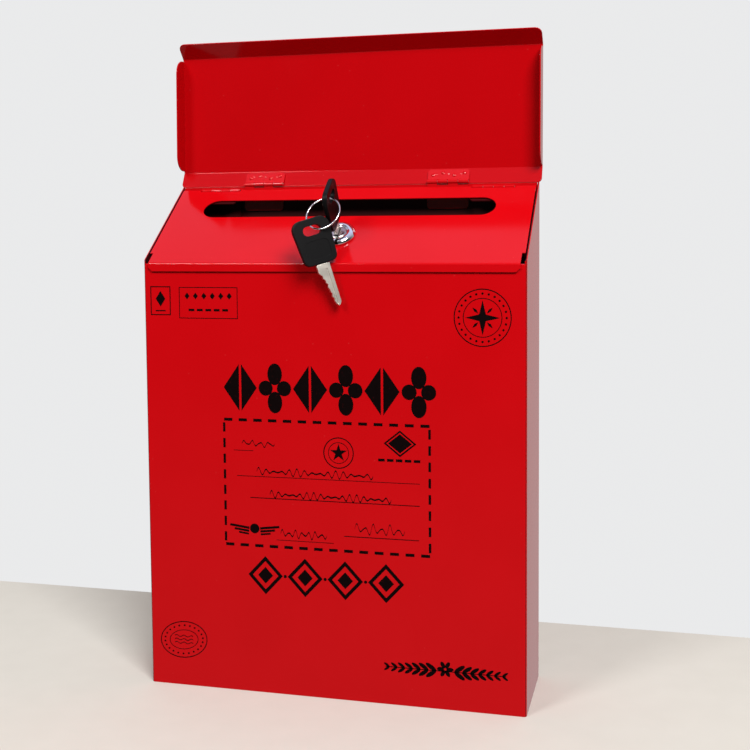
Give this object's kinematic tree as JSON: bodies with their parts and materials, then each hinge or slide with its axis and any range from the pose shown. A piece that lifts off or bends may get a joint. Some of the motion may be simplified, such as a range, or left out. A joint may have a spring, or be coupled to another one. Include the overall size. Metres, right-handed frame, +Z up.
{
  "type": "wall mounted mailbox",
  "caption": "Folded sheet-metal wall mailbox with a sloped, locked slot door, a hinged rain lid, a cam lock and keys on a ring.",
  "frame": {"origin": "centre of the wall face of the back panel, between the side walls", "axes": "+X to the right as seen from the front, +Y into the wall, +Z up"},
  "size_m": [0.2176, 0.0798, 0.37],
  "materials": {
    "red_paint": "gloss enamel",
    "red_paint_lid": "gloss enamel",
    "red_paint_door": "gloss enamel",
    "red_paint_inside": "gloss enamel, thinner inside",
    "red_paint_hinge": "gloss enamel over the hinge",
    "pin_steel": "drawn wire",
    "chrome": "polished",
    "plug_nickel": "nickel plated",
    "zinc_nut": "zinc plated",
    "zinc_cam": "zinc plated",
    "screw_steel": "zinc plated",
    "key_nickel": "nickel plated",
    "key_plastic": "satin black",
    "ring_steel": "bright wire"
  },
  "bodies": {
    "box": {"body_shell": "red_paint", "bottom_plate": "red_paint_inside", "back_panel": "red_paint_inside", "lid_hinge_wall_leaf_left": "red_paint_hinge", "lid_hinge_wall_leaf_right": "red_paint_hinge", "lid_hinge_pin_left": "pin_steel", "lid_hinge_pin_right": "pin_steel", "door_hinge_wall_leaf_left": "red_paint_hinge", "door_hinge_wall_leaf_right": "red_paint_hinge", "door_hinge_pin_left": "pin_steel", "door_hinge_pin_right": "pin_steel"},
    "rain_lid": {"lid": "red_paint_lid", "lid_hinge_lid_leaf_left": "red_paint_hinge", "lid_hinge_lid_leaf_right": "red_paint_hinge"},
    "door": {"slot_door": "red_paint_door", "door_hinge_door_leaf_left": "red_paint_hinge", "door_hinge_door_leaf_right": "red_paint_hinge", "lock_housing": "chrome", "lock_nut": "zinc_nut"},
    "lock_core": {"lock_plug": "plug_nickel", "lock_cam": "zinc_cam", "cam_screw": "screw_steel", "key_blade": "key_nickel", "key_bow": "key_plastic"},
    "ring": {"key_ring": "ring_steel"},
    "spare_key": {"spare_key_bow": "key_plastic", "spare_key_blade": "key_nickel"}
  },
  "joints": [
    {"name": "lid_hinge", "type": "hinge", "parent": "box", "child": "rain_lid", "pos_m": [0, -0.0013, 0.1554], "axis": [1, 0, 0], "range_deg": [0, 93]},
    {"name": "door_hinge", "type": "hinge", "parent": "box", "child": "door", "pos_m": [0, -0.0023, 0.1518], "axis": [1, 0, 0], "range_deg": [-70, 0]},
    {"name": "lock_turn", "type": "hinge", "parent": "door", "child": "lock_core", "pos_m": [0.001, -0.0393, 0.1253], "axis": [0, -0.5965, 0.8026], "range_deg": [-60, 0]},
    {"name": "ring_swing", "type": "hinge", "parent": "door", "child": "ring", "pos_m": [0.001, -0.05421, 0.14536], "axis": [1, 0, 0], "range_deg": [-45, 0]},
    {"name": "spare_key_swing", "type": "hinge", "parent": "ring", "child": "spare_key", "pos_m": [-0.00411, -0.06383, 0.12907], "axis": [1, 0, 0], "range_deg": [-30, 0]}
  ]
}
